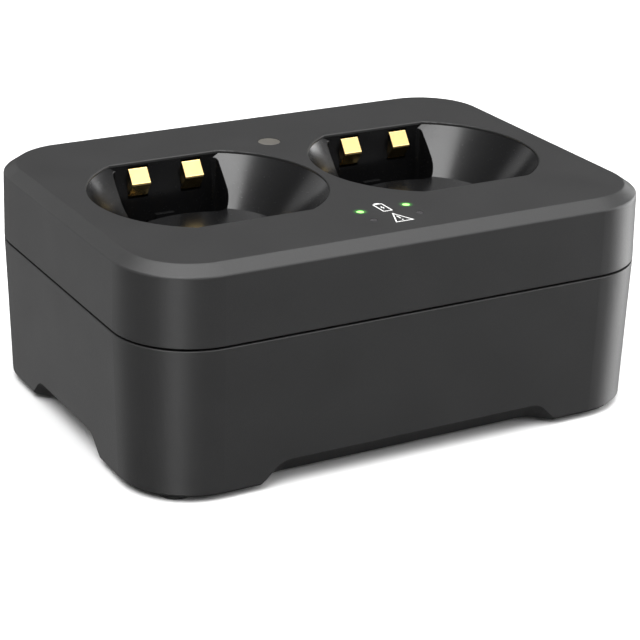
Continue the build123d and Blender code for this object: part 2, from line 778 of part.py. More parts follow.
guide_low_z = indicator_top_z + led_height + guide_gap
collar_z = ceiling_z - light_collar_height
with BuildPart() as light_shroud:
    with BuildSketch(Plane((0, indicator_mid_y, indicator_top_z))) as shroud_plan:
        RectangleRounded(shroud_width, indicator_depth - 2 * shroud_inset, indicator_corner)
        with Locations(*[(x, y - indicator_mid_y) for x, y in lights.values()]):
            Circle(light_collar_radius + fit_gap, mode=Mode.SUBTRACT)
    extrude(shroud_plan.sketch, amount=ceiling_z - fit_gap / 2 - indicator_top_z)
save(light_shroud, "light_shroud")

for name, (x, y) in lights.items():
    with BuildPart() as lamp:
        block_between(
            (x - led_width / 2, y - led_depth / 2, indicator_top_z),
            (x + led_width / 2, y + led_depth / 2, indicator_top_z + led_height / 2),
        )
        block_between(
            (x - led_width / 3, y - led_depth / 2, indicator_top_z),
            (x + led_width / 3, y + led_depth / 2, indicator_top_z + led_height),
        )
    save(lamp, f"{name}_led")
    with BuildPart() as guide:
        round_bars([(x, y)], light_radius - light_gap, guide_low_z, height - light_gap)
        round_bars([(x, y)], light_collar_radius, collar_z, ceiling_z)
        fillet(guide.faces().sort_by(Axis.Z)[-1].edges(), 0.12)
    save(guide, f"{name}_light_guide")

# ---- ribbon between the boards ----
def ribbon_socket(y, z_low):
    """Low connector block for the film ribbon."""
    half_x, half_y = ribbon_socket_width / 2, ribbon_socket_depth / 2
    with BuildPart() as socket:
        block_between((-half_x, y - half_y, z_low), (half_x, y + half_y, z_low + ribbon_socket_height))
    return socket


ribbon_top_y = indicator_mid_y
ribbon_low_y = ribbon_top_y + ribbon_shift
save(ribbon_socket(ribbon_top_y, indicator_z - ribbon_socket_height), "ribbon_socket_upper")
save(ribbon_socket(ribbon_low_y, board_top_z), "ribbon_socket_lower")

ribbon_high_z = indicator_z - ribbon_socket_height
ribbon_base_z = board_top_z + ribbon_socket_height
ribbon_span = ribbon_high_z - ribbon_base_z
with BuildPart() as ribbon:
    with BuildSketch(Plane.YZ) as ribbon_side:
        with BuildLine() as route:
            FilletPolyline(
                (ribbon_top_y, ribbon_high_z),
                (ribbon_top_y, ribbon_high_z - 0.2 * ribbon_span),
                (ribbon_top_y - ribbon_slack, ribbon_high_z - 0.4 * ribbon_span),
                (ribbon_low_y + ribbon_slack, ribbon_base_z + 0.35 * ribbon_span),
                (ribbon_low_y, ribbon_base_z + 0.15 * ribbon_span),
                (ribbon_low_y, ribbon_base_z),
                radius=ribbon_bend,
            )
        trace(route.line, ribbon_thickness)
    extrude(ribbon_side.sketch, amount=ribbon_width / 2, both=True)
save(ribbon, "indicator_ribbon")

# ---- printed symbols and the inlay disc ----
battery_plane = Plane((0, -(well_flat + battery_symbol_gap), height))
bolt_half_width = 0.2 * battery_mark_width
bolt_half_length = 0.25 * battery_mark_length
bolt_waist = 0.03 * battery_mark_length
bolt_points = [(0.6 * bolt_half_width, bolt_half_length), (-bolt_half_width, -bolt_waist), (0, -bolt_waist)]
with BuildPart() as battery_symbol:
    with BuildSketch(battery_plane) as battery_mark:
        RectangleRounded(battery_mark_width, battery_mark_length, symbol_stroke)
        RectangleRounded(
            battery_mark_width - 2 * symbol_stroke,
            battery_mark_length - 2 * symbol_stroke,
            symbol_stroke / 2,
            mode=Mode.SUBTRACT,
        )
        with Locations((0, (battery_mark_length + battery_nub) / 2 - symbol_stroke / 4)):
            Rectangle(battery_mark_width / 2, battery_nub)
        with BuildLine():
            Polyline(*bolt_points, *[(-x, -y) for x, y in bolt_points], close=True)
        make_face()
    extrude(battery_mark.sketch, amount=symbol_thickness)
save(battery_symbol, "battery_symbol")

with BuildPart() as fault_symbol:
    with BuildSketch(Plane((0, -(well_flat + fault_symbol_gap), height))) as fault_mark:
        pen = symbol_stroke / 2
        low_y = pen - fault_mark_length / 2
        with BuildLine() as border:
            Polyline(
                (pen - fault_mark_width / 2, low_y),
                (fault_mark_width / 2 - pen, low_y),
                (0, fault_mark_length / 2 - 2 * pen),
                close=True,
            )
        trace(border.line, symbol_stroke)
        with Locations((0, 0)):
            Rectangle(symbol_stroke, 0.32 * fault_mark_length)
        with Locations((0, low_y + 3 * symbol_stroke)):
            Circle(0.7 * symbol_stroke)
    extrude(fault_mark.sketch, amount=symbol_thickness)
save(fault_symbol, "fault_symbol")

with BuildPart() as disc:
    round_bars([(0, disc_y)], disc_radius, disc_low_z, height - disc_sink)
    chamfer(disc.faces().sort_by(Axis.Z)[-1].edges(), disc_gap)
save(disc, "inlay_disc")

# ---- feet ----
for foot_x, foot_y in foot_points:
    with BuildPart() as foot:
        round_bars([(foot_x, foot_y)], foot_radius, 0, bottom_z + foot_seat)
        fillet(foot.faces().sort_by(Axis.Z)[0].edges(), foot_round)
    across = "left" if foot_x < 0 else "right"
    along = "front" if foot_y < 0 else "rear"
    save(foot, f"rubber_foot_{along}_{across}")


# ---- screws ----
def screws(points, seat_z, shank, head, up=True):
    """Cross-head screws; shank and head are (radius, length) and `up` is the way they drive."""
    way = 1 if up else -1
    shank_radius, shank_length = shank
    head_radius, head_height = head
    round_bars(points, shank_radius, *sorted((seat_z, seat_z + way * shank_length)))
    round_bars(points, head_radius, *sorted((seat_z, seat_z - way * head_height)))
    slot = (slot_width * head_radius, slot_reach * head_radius)
    for size in (slot, slot[::-1]):
        for x, y in points:
            with Locations((x, y, seat_z - way * 0.75 * head_height)):
                Box(*size, head_height / 2, mode=Mode.SUBTRACT)


shell_seat_z = bottom_z + head_recess
shell_shank = (shell_screw_radius, post_low_z - shell_seat_z + shell_screw_length - blind_end)
small_shank = (small_screw_radius, small_screw_length)
small_head = (small_head_radius, small_head_height)

with BuildPart() as housing_screws:
    screws(shell_screws, shell_seat_z, shell_shank, (shell_head_radius, shell_head_height))
save(housing_screws, "housing_screws")

with BuildPart() as board_screws:
    screws(board_screws_xy, board_top_z, small_shank, small_head, up=False)
save(board_screws, "board_screws")

with BuildPart() as liner_screws:
    screws(liner_screws_xy, ear_z, small_shank, small_head)
save(liner_screws, "liner_screws")

with BuildPart() as indicator_screws:
    screws(indicator_screws_xy, indicator_z, small_shank, small_head)
save(indicator_screws, "indicator_screws")
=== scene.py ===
"""Two-bay battery charging dock: finishes, inlet bezel, mould marks and studio around the CAD frame."""
from dataclasses import dataclass, field
from enum import Enum
import json
import logging
import math
from typing import Any, Optional, Sequence, Union

import bmesh
import bpy
from mathutils import Matrix, Vector


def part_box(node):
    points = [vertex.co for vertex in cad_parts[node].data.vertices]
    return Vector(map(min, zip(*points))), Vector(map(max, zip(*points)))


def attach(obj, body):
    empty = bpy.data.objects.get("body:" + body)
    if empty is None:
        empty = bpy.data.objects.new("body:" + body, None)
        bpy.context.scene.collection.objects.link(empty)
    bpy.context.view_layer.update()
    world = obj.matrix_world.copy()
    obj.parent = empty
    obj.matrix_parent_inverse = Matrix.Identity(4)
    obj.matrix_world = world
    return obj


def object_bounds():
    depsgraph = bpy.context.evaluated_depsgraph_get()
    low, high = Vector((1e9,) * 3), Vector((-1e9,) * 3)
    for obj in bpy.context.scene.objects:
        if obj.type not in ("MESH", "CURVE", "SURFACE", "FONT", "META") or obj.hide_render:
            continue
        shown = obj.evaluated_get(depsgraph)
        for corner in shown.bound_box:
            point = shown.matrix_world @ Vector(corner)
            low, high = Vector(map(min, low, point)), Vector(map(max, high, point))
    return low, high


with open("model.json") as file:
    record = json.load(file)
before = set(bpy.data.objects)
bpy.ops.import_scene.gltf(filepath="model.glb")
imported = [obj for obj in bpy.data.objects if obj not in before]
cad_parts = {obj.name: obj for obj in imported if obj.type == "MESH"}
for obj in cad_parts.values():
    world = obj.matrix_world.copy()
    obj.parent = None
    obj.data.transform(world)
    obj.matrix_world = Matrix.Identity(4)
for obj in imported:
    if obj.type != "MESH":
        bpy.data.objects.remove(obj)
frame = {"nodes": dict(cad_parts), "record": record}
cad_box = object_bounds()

log = logging.getLogger("charging_dock")
MM = 0.001
DOCK = "dock"
Colour = tuple[float, float, float]
Number = Union[int, float, "Wire"]


# --------------------------------------------------------------------------- shader graphs
class Wire:
    """One output of a shader node; arithmetic on it adds Math nodes to the graph."""

    def __init__(self, graph: "NodeGraph", socket: bpy.types.NodeSocket) -> None:
        """Args:
            graph: the graph that the socket belongs to.
            socket: the output socket.
        """
        self.graph = graph
        self.socket = socket

    def _math(self, operation: str, first: Number, second: Number) -> "Wire":
        """Add one Math node.

        Args:
            operation: the Math node's operation.
            first: left operand.
            second: right operand.

        Returns:
            The node's value.
        """
        return self.graph.node("ShaderNodeMath", {"operation": operation}, {0: first, 1: second})

    def __add__(self, other: Number) -> "Wire":
        """self + other."""
        return self._math("ADD", self, other)

    def __radd__(self, other: Number) -> "Wire":
        """other + self."""
        return self._math("ADD", other, self)

    def __sub__(self, other: Number) -> "Wire":
        """self - other."""
        return self._math("SUBTRACT", self, other)

    def __rsub__(self, other: Number) -> "Wire":
        """other - self."""
        return self._math("SUBTRACT", other, self)

    def __mul__(self, other: Number) -> "Wire":
        """self * other."""
        return self._math("MULTIPLY", self, other)

    def __rmul__(self, other: Number) -> "Wire":
        """other * self."""
        return self._math("MULTIPLY", other, self)

    def __truediv__(self, other: Number) -> "Wire":
        """self / other."""
        return self._math("DIVIDE", self, other)

    def __pow__(self, other: Number) -> "Wire":
        """self to a power."""
        return self._math("POWER", self, other)


class NodeGraph:
    """A node tree that is filled through one method."""

    def __init__(self, tree: bpy.types.NodeTree) -> None:
        """Args:
            tree: the tree to fill.
        """
        self.nodes = tree.nodes
        self.links = tree.links

    def node(
        self,
        kind: str,
        settings: Optional[dict[str, Any]] = None,
        inputs: Optional[dict[Union[int, str], Any]] = None,
        output: Union[int, str] = 0,
    ) -> Wire:
        """Add any node.

        Args:
            kind: the node's type.
            settings: its own properties, set first; "stops" are a colour ramp's stops.
            inputs: values or wires for its input sockets.
            output: which output to return.

        Returns:
            That output.
        """
        made = self.nodes.new(kind)
        for key, value in (settings or {}).items():
            if key == "stops":
                self.set_stops(made.color_ramp, value)
            else:
                setattr(made, key, value)
        for key, value in (inputs or {}).items():
            self.feed(made.inputs[key], value)
        return Wire(self, made.outputs[output])

    def feed(self, socket: bpy.types.NodeSocket, value: Any) -> None:
        """Set a socket's value, or link it.

        Args:
            socket: the input socket.
            value: a number, a colour, a vector or a Wire.
        """
        if isinstance(value, Wire):
            self.links.new(value.socket, socket)
        elif socket.type == "RGBA" and len(value) == 3:
            socket.default_value = (*value, 1.0)
        else:
            socket.default_value = value

    @staticmethod
    def set_stops(ramp: bpy.types.ColorRamp, stops: Sequence[tuple[float, float]]) -> None:
        """Fill a colour ramp with grey stops.

        Args:
            ramp: the ramp.
            stops: pairs of position and grey level, rising.
        """
        while len(ramp.elements) < len(stops):
            ramp.elements.new(1.0)
        for element, (place, level) in zip(ramp.elements, stops):
            element.position = place
            element.color = (level, level, level, 1.0)

    def ramp(self, value: Wire, stops: Sequence[tuple[float, float]]) -> Wire:
        """Remap a value through grey stops.

        Args:
            value: the input.
            stops: pairs of input and output level.

        Returns:
            The remapped value.
        """
        return self.node("ShaderNodeValToRGB", {"stops": stops}, {"Fac": value})


class ShaderGraph(NodeGraph):
    """A material's nodes around one Principled shader."""

    def __init__(self, name: str) -> None:
        """Args:
            name: the material's name.
        """
        self.material = bpy.data.materials.new(name)
        self.material.use_nodes = True
        super().__init__(self.material.node_tree)
        self.shader = self.nodes["Principled BSDF"]
        self._position: Optional[Wire] = None

    def set(self, **values: Any) -> None:
        """Set the Principled shader's sockets; an underscore stands for a space in a name."""
        for key, value in values.items():
            self.feed(self.shader.inputs[key.replace("_", " ")], value)

    def position(self) -> Wire:
        """Place on the surface, in metres in the dock's own frame."""
        if self._position is None:
            self._position = self.node("ShaderNodeTexCoord", output="Object")
        return self._position

    def noise(self, size: float, detail: float = 2.0, roughness: float = 0.5, offset: float = 0.0) -> Wire:
        """Cloudy noise from 0 to 1.

        Args:
            size: width of a blotch, in metres.
            detail: octaves.
            roughness: weight of the fine octaves.
            offset: moves the pattern along X, in metres, so that two noises differ.

        Returns:
            The noise value.
        """
        place: Wire = self.position()
        if offset:
            place = self.node("ShaderNodeVectorMath", {"operation": "ADD"}, {0: place, 1: (offset, 0.0, 0.0)})
        inputs = {"Vector": place, "Scale": 1.0 / size, "Detail": detail, "Roughness": roughness}
        return self.node("ShaderNodeTexNoise", {}, inputs, "Fac")

    def blend(self, mask: Number, low: Any, high: Any) -> Wire:
        """Mix two colours.

        Args:
            mask: 0 gives low and 1 gives high.
            low: first colour.
            high: second colour.

        Returns:
            The mixed colour.
        """
        settings = {"data_type": "RGBA", "clamp_factor": True}
        return self.node("ShaderNodeMix", settings, {0: mask, 6: low, 7: high}, 2)

    def bump(self, height: Wire, depth: float, strength: float = 1.0, under: Optional[Wire] = None) -> Wire:
        """Bump from a height field.

        Args:
            height: values from 0 to 1.
            depth: height of 1, in metres.
            strength: how much of the bump shows.
            under: a normal to add to.

        Returns:
            The bent normal.
        """
        inputs: dict[Union[int, str], Any] = {"Height": height, "Distance": depth, "Strength": strength}
        if under is not None:
            inputs["Normal"] = under
        return self.node("ShaderNodeBump", {}, inputs)


# --------------------------------------------------------------------------- finishes
class Tone(Enum):
    """Base colours of the dock's materials."""

    CHARCOAL = (0.021, 0.021, 0.0212)
    PIANO_BLACK = (0.0045, 0.0045, 0.0048)
    INNER_BLACK = (0.012, 0.012, 0.012)
    GOLD = (1.0, 0.74, 0.32)
    RUBBER = (0.011, 0.011, 0.011)
    MASK_GREEN = (0.012, 0.075, 0.03)
    NYLON = (0.55, 0.5, 0.4)
    NICKEL = (0.66, 0.63, 0.58)
    ZINC = (0.28, 0.28, 0.29)
    RESIN = (0.02, 0.02, 0.022)
    FERRITE = (0.06, 0.055, 0.055)
    CAN = (0.6, 0.6, 0.62)
    CERAMIC = (0.65, 0.62, 0.54)
    FILM = (0.72, 0.69, 0.6)
    LAMP = (0.8, 0.78, 0.6)
    PRINT = (0.82, 0.82, 0.81)
    SATIN = (0.58, 0.55, 0.5)
    SMOKED = (0.055, 0.052, 0.055)
    LIT = (0.25, 0.8, 0.18)

    def scaled(self, factor: float) -> Colour:
        """Args:
            factor: how much lighter or darker.

        Returns:
            The tone times the factor.
        """
        return tuple(factor * part for part in self.value)


@dataclass(frozen=True)
class GrainedPlastic:
    """Moulded plastic with a fine spark-eroded grain."""

    tone: Tone
    roughness: float = 0.46
    grain: float = 0.36 * MM
    grain_depth: float = 0.02 * MM
    cloud_size: float = 14 * MM
    # Painted glow: the fields below place and colour a green emission on the plastic round the lit guides, standing
    # in for the light they spill; the plastic is no lamp.
    painted_glow_points: tuple[tuple[float, float, float], ...] = ()
    glow_radius: float = 2.6 * MM
    glow_core: float = 0.6 * MM
    painted_glow_colour: Colour = (0.04, 0.3, 0.03)

    def build(self, name: str) -> bpy.types.Material:
        """Args:
            name: the material's name.

        Returns:
            The material.
        """
        graph = ShaderGraph(name)
        coarse = graph.noise(self.grain, 3.0, 0.6)
        fine = graph.noise(self.grain / 2.3, 2.0, 0.5, offset=0.31)
        cloud = graph.noise(self.cloud_size, 2.0, 0.5, offset=0.77)
        peaks = graph.ramp(coarse * 0.65 + fine * 0.35, ((0.3, 0.0), (0.72, 1.0)))
        colour = graph.blend(peaks * 0.6 + cloud * 0.4, self.tone.scaled(0.82), self.tone.scaled(1.22))
        graph.set(Base_Color=colour, Roughness=self.roughness + (cloud - 0.5) * 0.08 - peaks * 0.05)
        graph.set(Normal=graph.bump(peaks, self.grain_depth, 0.8), Specular_IOR_Level=0.5)
        # Painted glow: green emission round the lit guides, standing in for their spilled light.
        if self.painted_glow_points:
            graph.set(Emission_Color=self._painted_glow(graph), Emission_Strength=1.0)
        return graph.material

    def _painted_glow(self, graph: ShaderGraph) -> Wire:
        """Painted glow: green emission on the plastic round the lit guides, standing in for the light they spill.

        Args:
            graph: the material's graph.

        Returns:
            The emission colour.
        """
        total: Number = 0.0
        for point in self.painted_glow_points:
            settings = {"operation": "DISTANCE"}
            away = graph.node("ShaderNodeVectorMath", settings, {0: graph.position(), 1: point}, "Value")
            near = graph.node(
                "ShaderNodeMapRange",
                {"interpolation_type": "SMOOTHERSTEP", "clamp": True},
                {"Value": away, "From Min": self.glow_radius, "From Max": self.glow_core},
            )
            total = near * near + total
        return graph.blend(total, (0.0, 0.0, 0.0), self.painted_glow_colour)


@dataclass(frozen=True)
class PolishedPlastic:
    """Mirror-polished moulding with a faint orange peel and a few hairline rubs."""

    tone: Tone
    roughness: float = 0.07
    peel: float = 3.0 * MM
    peel_depth: float = 0.006 * MM
    cloud_size: float = 9 * MM
    speck_size: float = 0.5 * MM

    def build(self, name: str) -> bpy.types.Material:
        """Args:
            name: the material's name.

        Returns:
            The material.
        """
        graph = ShaderGraph(name)
        peel = graph.noise(self.peel, 1.0, 0.4)
        cloud = graph.noise(self.cloud_size, 3.0, 0.6, offset=0.4)
        specks = graph.ramp(graph.noise(self.speck_size, 1.0, 0.5, offset=0.9), ((0.68, 0.0), (0.76, 1.0)))
        colour = graph.blend(cloud, self.tone.scaled(0.9), self.tone.scaled(1.25))
        graph.set(Base_Color=colour, Roughness=self.roughness + cloud * 0.05 + specks * 0.06)
        graph.set(Normal=graph.bump(peel, self.peel_depth, 0.4), Specular_IOR_Level=0.5)
        return graph.material


@dataclass(frozen=True)
class PlatedMetal:
    """Plated or bright metal with a rolling direction and soft handling marks."""

    tone: Tone
    roughness: float = 0.2
    streak: float = 0.05 * MM
    streak_axis: int = 2
    streak_depth: float = 0.002 * MM
    streak_stretch: float = 0.02
    cloud_size: float = 1.6 * MM

    def build(self, name: str) -> bpy.types.Material:
        """Args:
            name: the material's name.

        Returns:
            The material.
        """
        graph = ShaderGraph(name)
        stretch = [1.0, 1.0, 1.0]
        stretch[self.streak_axis] = self.streak_stretch
        factors = {0: graph.position(), 1: stretch}
        place = graph.node("ShaderNodeVectorMath", {"operation": "MULTIPLY"}, factors)
        inputs = {"Vector": place, "Scale": 1.0 / self.streak, "Detail": 2.0}
        lines = graph.node("ShaderNodeTexNoise", {}, inputs, "Fac")
        cloud = graph.noise(self.cloud_size, 3.0, 0.6)
        colour = graph.blend(cloud, self.tone.scaled(0.86), self.tone.value)
        graph.set(Base_Color=colour, Metallic=1.0, Roughness=self.roughness + cloud * 0.1 + lines * 0.04)
        graph.set(Normal=graph.bump(lines, self.streak_depth, 0.4))
        return graph.material


@dataclass(frozen=True)
class PlainMoulding:
    """Plain moulded or printed surface with slight mottling."""

    tone: Tone
    roughness: float = 0.5
    mottle: float = 1.2 * MM
    depth: float = 0.01 * MM
    clear: float = 0.0

    def build(self, name: str) -> bpy.types.Material:
        """Args:
            name: the material's name.

        Returns:
            The material.
        """
        graph = ShaderGraph(name)
        mottle = graph.noise(self.mottle, 3.0, 0.6)
        fine = graph.noise(self.mottle / 5, 2.0, 0.5, offset=0.2)
        colour = graph.blend(mottle, self.tone.scaled(0.85), self.tone.scaled(1.1))
        graph.set(Base_Color=colour, Roughness=self.roughness + (fine - 0.5) * 0.12)
        graph.set(Normal=graph.bump(fine, self.depth, 0.4), Coat_Weight=self.clear)
        return graph.material


@dataclass(frozen=True)
class CircuitLaminate:
    """Green solder mask over copper tracks."""

    tone: Tone = Tone.MASK_GREEN
    pitch: float = 1.6 * MM
    cloud_size: float = 6 * MM
    track_height: float = 0.03 * MM

    def build(self, name: str) -> bpy.types.Material:
        """Args:
            name: the material's name.

        Returns:
            The material.
        """
        graph = ShaderGraph(name)
        cells = graph.node(
            "ShaderNodeTexVoronoi",
            {"distance": "CHEBYCHEV", "feature": "F1"},
            {"Vector": graph.position(), "Scale": 1.0 / (3 * self.pitch), "Randomness": 0.55},
            "Distance",
        )
        tracks = graph.ramp(cells, ((0.16, 0.0), (0.19, 1.0), (0.3, 1.0), (0.33, 0.0)))
        cloud = graph.noise(self.cloud_size, 2.0, 0.5)
        mask = tracks * (0.7 + cloud * 0.3)
        graph.set(Base_Color=graph.blend(mask, self.tone.value, self.tone.scaled(1.7)))
        graph.set(Roughness=0.28 + cloud * 0.12, Normal=graph.bump(tracks, self.track_height, 0.7), Coat_Weight=0.3)
        return graph.material


@dataclass(frozen=True)
class LitGuide:
    """End of a light guide with a lamp shining through it."""

    centre_strength: float = 1.25
    cloud_size: float = 0.5 * MM
    ripple: float = 0.02 * MM
    edge_colour: Colour = (0.3, 0.95, 0.14)
    core_colour: Colour = (0.6, 1.0, 0.4)

    def build(self, name: str) -> bpy.types.Material:
        """Args:
            name: the material's name.

        Returns:
            The material.
        """
        graph = ShaderGraph(name)
        cloud = graph.noise(self.cloud_size, 2.0, 0.5)
        colour = graph.blend(cloud * 0.5, self.edge_colour, self.core_colour)
        graph.set(Base_Color=Tone.LIT.value, Roughness=0.22 + cloud * 0.1)
        graph.set(Emission_Color=colour, Emission_Strength=self.centre_strength)
        graph.set(Normal=graph.bump(cloud, self.ripple, 0.3))
        return graph.material


# --------------------------------------------------------------------------- mesh helpers
def link_piece(name: str, mesh: bpy.types.Mesh, body: str) -> bpy.types.Object:
    """Put a finished mesh in the scene as a piece of the object.

    Args:
        name: the piece's name.
        mesh: its mesh, in the dock's frame.
        body: the CAD body that it rides on.

    Returns:
        The new object.
    """
    piece = bpy.data.objects.new(name, mesh)
    bpy.context.scene.collection.objects.link(piece)
    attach(piece, body)
    log.info("%s: %d faces on %s", name, len(mesh.polygons), body)
    return piece


def body_of_node(node: str) -> str:
    """The CAD body that a node belongs to."""
    for body, members in frame["record"]["behaviour"]["bodies"].items():
        if node in members:
            return body
    raise KeyError(node)


def dress(node: str, material: bpy.types.Material) -> None:
    """Give a CAD node one material.

    Args:
        node: the node's name.
        material: its finish.
    """
    mesh = frame["nodes"][node].data
    mesh.materials.clear()
    mesh.materials.append(material)
    for face in mesh.polygons:
        face.material_index = 0
    log.info("%s wears %s", node, material.name)


def revolved(
    name: str, profile: Sequence[tuple[float, float]], foot: Vector, axis: Vector, steps: int = 96
) -> bpy.types.Mesh:
    """Turn a closed outline about an axis.

    Args:
        name: the mesh's name.
        profile: pairs of radius and height above the foot, once round the section.
        foot: where the axis meets the surface that the piece sits on.
        axis: the way that height runs.
        steps: facets round the axis.

    Returns:
        The mesh, smooth shaded.
    """
    turn = axis.to_track_quat("Z", "Y")
    shape = bmesh.new()
    rows = []
    for step in range(steps):
        angle = math.tau * step / steps
        spin = Vector((math.cos(angle), math.sin(angle), 0.0))
        rows.append([shape.verts.new(foot + turn @ (spin * r + Vector((0.0, 0.0, h)))) for r, h in profile])
    for step in range(steps):
        here, there = rows[step], rows[(step + 1) % steps]
        for place in range(len(profile)):
            after = (place + 1) % len(profile)
            shape.faces.new((here[place], here[after], there[after], there[place]))
    bmesh.ops.recalc_face_normals(shape, faces=shape.faces)
    mesh = bpy.data.meshes.new(name)
    shape.to_mesh(mesh)
    shape.free()
    mesh.shade_smooth()
    return mesh


def surface_point(node: str, start: Vector, way: Vector) -> Vector:
    """Where a straight line first meets a CAD node.

    Args:
        node: the node's name.
        start: a point outside it.
        way: the line's direction.

    Returns:
        The meeting point.
    """
    found, point, _, _ = frame["nodes"][node].ray_cast(start, way)
    if not found:
        raise ValueError(f"no surface of {node} on the line from {tuple(start)}")
    return point


# --------------------------------------------------------------------------- sub-assemblies
@dataclass
class HousingShells:
    """Top cover and base, in one grained plastic."""

    lights: tuple[str, ...] = ("charge_left_light_guide", "charge_right_light_guide")

    def build(self) -> None:
        """Dress both shells; the cover also gets a painted glow round the lit guides, standing in for the light
        they spill.
        """
        points = []
        for light in self.lights:
            low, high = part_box(light)
            points.append(((low[0] + high[0]) / 2, (low[1] + high[1]) / 2, high[2]))
        # The cover's painted glow is centred on the tops of the lit guides.
        cover = GrainedPlastic(Tone.CHARCOAL, painted_glow_points=tuple(points))
        dress("top_cover", cover.build("cover_grain"))
        dress("base_housing", GrainedPlastic(Tone.CHARCOAL).build("base_grain"))


@dataclass
class Finishes:
    """The finish of every node that needs nothing but a material."""

    by_slot: dict[str, Any] = field(
        default_factory=lambda: {
            "liner_gloss_plastic": PolishedPlastic(Tone.PIANO_BLACK, 0.2),
            "contact_gold": PlatedMetal(Tone.GOLD, 0.12),
            "foot_rubber": GrainedPlastic(Tone.RUBBER, 0.72, 0.5 * MM),
            "inner_black_plastic": PlainMoulding(Tone.INNER_BLACK, 0.45),
            "circuit_board": CircuitLaminate(),
            "connector_plastic": PlainMoulding(Tone.NYLON, 0.5),
            "nickel_plate": PlatedMetal(Tone.NICKEL, 0.14, streak_axis=1),
            "screw_steel": PlatedMetal(Tone.ZINC, 0.3),
            "chip_resin": PlainMoulding(Tone.RESIN, 0.55),
            "coil_ferrite": PlainMoulding(Tone.FERRITE, 0.6),
            "capacitor_can": PlatedMetal(Tone.CAN, 0.22),
            "fuse_ceramic": PlainMoulding(Tone.CERAMIC, 0.35, clear=0.2),
            "ribbon_film": PlainMoulding(Tone.FILM, 0.3),
            "led_package": PlainMoulding(Tone.LAMP, 0.2, clear=0.4),
            "light_guide_green": LitGuide(),
            "light_guide_unlit": PlainMoulding(Tone.SMOKED, 0.25, clear=0.5),
            "symbol_print": PlainMoulding(Tone.PRINT, 0.55),
            "inlay_satin": PlatedMetal(Tone.SATIN, 0.3),
        }
    )

    def build(self) -> None:
        """Dress every node whose slot is listed."""
        made = {slot: finish.build(slot) for slot, finish in self.by_slot.items()}
        for part in frame["record"]["subparts"]:
            if part["material_slot"] in made:
                dress(part["node"], made[part["material_slot"]])


@dataclass
class InletBezel:
    """Thin polished ring round the power inlet, set on the rear wall."""

    inner: float = 5.35 * MM
    outer: float = 6.7 * MM
    lift: float = 0.22 * MM
    edge: float = 0.1 * MM

    def build(self) -> None:
        """Turn the ring and put it on the wall."""
        low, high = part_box("power_inlet")
        centre = Vector(((low[0] + high[0]) / 2, 0.0, (low[2] + high[2]) / 2))
        away = Vector((self.outer, 2 * cad_box[1][1], 0.0))
        wall = surface_point("base_housing", centre + away, Vector((0.0, -1.0, 0.0)))
        foot = Vector((centre.x, wall.y, centre.z))
        top, soft = self.lift, self.edge
        profile = [
            (self.inner, 0.0),
            (self.inner, top - soft),
            (self.inner + 0.3 * soft, top - 0.3 * soft),
            (self.inner + soft, top),
            (self.outer - soft, top),
            (self.outer - 0.3 * soft, top - 0.3 * soft),
            (self.outer, top - soft),
            (self.outer, 0.0),
        ]
        mesh = revolved("inlet_bezel", profile, foot, Vector((0.0, 1.0, 0.0)))
        mesh.materials.append(PolishedPlastic(Tone.INNER_BLACK, 0.16).build("bezel_gloss"))
        link_piece("inlet_bezel", mesh, DOCK)


@dataclass
class MouldMarks:
    """Faint raised rings that the ejector pins leave under the base."""

    places: tuple[tuple[float, float], ...] = (
        (-0.22, -0.5),
        (0.22, -0.5),
        (-0.22, 0.5),
        (0.22, 0.5),
        (0.0, 0.0),
    )
    start_below: float = 10 * MM
    radius: float = 2.6 * MM
    width: float = 0.35 * MM
    lift: float = 0.09 * MM

    def build(self) -> None:
        """Turn one ring for each pin."""
        finish = GrainedPlastic(Tone.CHARCOAL, 0.42).build("mark_plastic")
        low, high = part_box("base_housing")
        for number, (across, along) in enumerate(self.places):
            start = Vector((across * high[0], along * high[1], low[2] - self.start_below))
            foot = surface_point("base_housing", start, Vector((0.0, 0.0, 1.0)))
            half = self.width / 2
            profile = [
                (self.radius - half, 0.0),
                (self.radius - 0.5 * half, 0.8 * self.lift),
                (self.radius, self.lift),
                (self.radius + 0.5 * half, 0.8 * self.lift),
                (self.radius + half, 0.0),
            ]
            mesh = revolved(f"mould_mark_{number}", profile, foot, Vector((0.0, 0.0, -1.0)), 64)
            mesh.materials.append(finish)
            link_piece(f"mould_mark_{number}", mesh, DOCK)


# --------------------------------------------------------------------------- studio
def direction(azimuth: float, elevation: float) -> Vector:
    """The way from the dock to something around it.

    Args:
        azimuth: degrees, 0 straight in front and positive towards the dock's right.
        elevation: degrees above level.

    Returns:
        A unit vector.
    """
    turn, lift = math.radians(azimuth), math.radians(elevation)
    return Vector((math.sin(turn) * math.cos(lift), -math.cos(turn) * math.cos(lift), math.sin(lift)))


@dataclass(frozen=True)
class SoftBox:
    """One rectangular studio lamp that faces the dock."""

    name: str
    azimuth: float
    elevation: float
    distance: float
    size: tuple[float, float]
    radiance: float
    colour: Colour = (1.0, 1.0, 1.0)

    def build(self, target: Vector) -> None:
        """Add the lamp.

        Args:
            target: the point it faces.
        """
        way = direction(self.azimuth, self.elevation)
        lamp = bpy.data.lights.new(self.name, "AREA")
        lamp.shape = "RECTANGLE"
        lamp.size, lamp.size_y = self.size
        lamp.energy = self.radiance * math.pi * self.size[0] * self.size[1]
        lamp.color = self.colour
        holder = bpy.data.objects.new(self.name, lamp)
        bpy.context.scene.collection.objects.link(holder)
        holder.location = target + way * self.distance
        holder.rotation_mode = "QUATERNION"
        holder.rotation_quaternion = (-way).to_track_quat("-Z", "Y")


@dataclass(frozen=True)
class SkyPanel:
    """A soft bright spot of the surroundings, seen only in reflections and by open surfaces."""

    azimuth: float
    elevation: float
    sharpness: float
    level: float

    def way(self) -> tuple[float, float, float]:
        """Returns:
            The direction from the dock to the spot.
        """
        return tuple(direction(self.azimuth, self.elevation))


